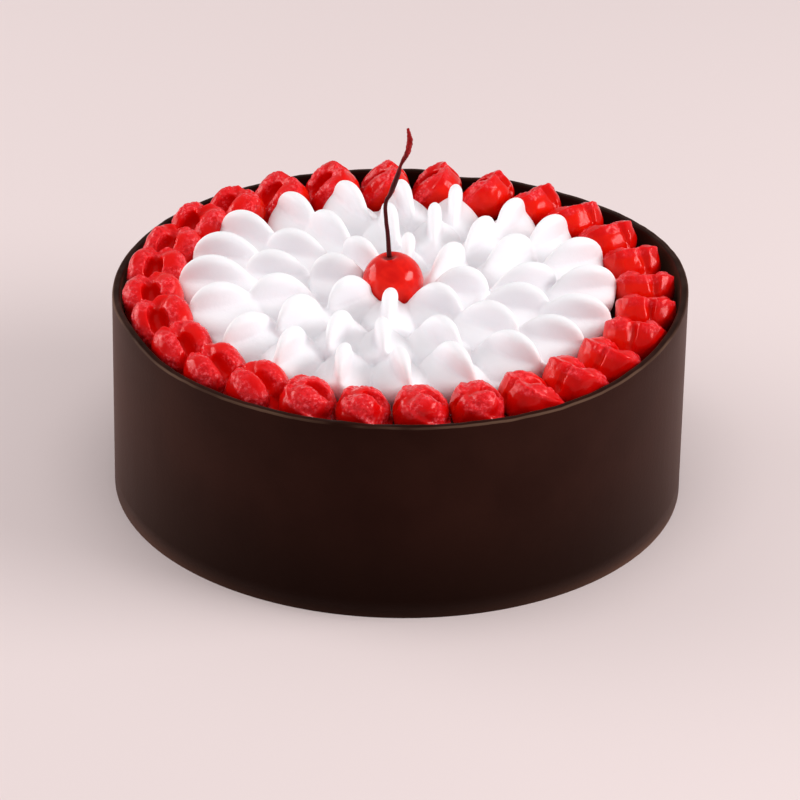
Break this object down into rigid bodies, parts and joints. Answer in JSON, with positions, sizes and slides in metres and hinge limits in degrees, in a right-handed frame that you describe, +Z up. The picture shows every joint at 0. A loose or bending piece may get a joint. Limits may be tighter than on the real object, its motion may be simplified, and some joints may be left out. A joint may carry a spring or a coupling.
{
  "type": "black forest cake",
  "caption": "Round layer cake in a plain dark chocolate collar, topped with piped cream petals, a ring of pitted cherry halves and a stemmed cherry.",
  "frame": {"origin": "centre of the round foot, on the surface that the cake stands on", "axes": "+Z up through the middle of the cake, +X to the right and -Y towards the front"},
  "size_m": [0.2, 0.2, 0.1343],
  "materials": {
    "chocolate": "smooth dark chocolate with a soft satin shine",
    "cake": "dark moist chocolate sponge, matt and open",
    "cream": "white whipped cream, smooth and soft",
    "cherry_half": "wet red cherry flesh, glossy back and rougher cut face",
    "whole_cherry": "glossy bright red skin",
    "stem": "dark red-brown stalk"
  },
  "bodies": {
    "root": {"chocolate_collar": "chocolate", "cake_body": "cake", "cream": "cream", "top_cherry": "whole_cherry", "cherry_stem": "stem", "cherry_half_01": "cherry_half", "cherry_half_02": "cherry_half", "cherry_half_03": "cherry_half", "cherry_half_04": "cherry_half", "cherry_half_05": "cherry_half", "cherry_half_06": "cherry_half", "cherry_half_07": "cherry_half", "cherry_half_08": "cherry_half", "cherry_half_09": "cherry_half", "cherry_half_10": "cherry_half", "cherry_half_11": "cherry_half", "cherry_half_12": "cherry_half", "cherry_half_13": "cherry_half", "cherry_half_14": "cherry_half", "cherry_half_15": "cherry_half", "cherry_half_16": "cherry_half", "cherry_half_17": "cherry_half", "cherry_half_18": "cherry_half", "cherry_half_19": "cherry_half", "cherry_half_20": "cherry_half", "cherry_half_21": "cherry_half", "cherry_half_22": "cherry_half", "cherry_half_23": "cherry_half", "cherry_half_24": "cherry_half", "cherry_half_25": "cherry_half", "cherry_half_26": "cherry_half", "cherry_half_27": "cherry_half", "cherry_half_28": "cherry_half"}
  },
  "joints": []
}
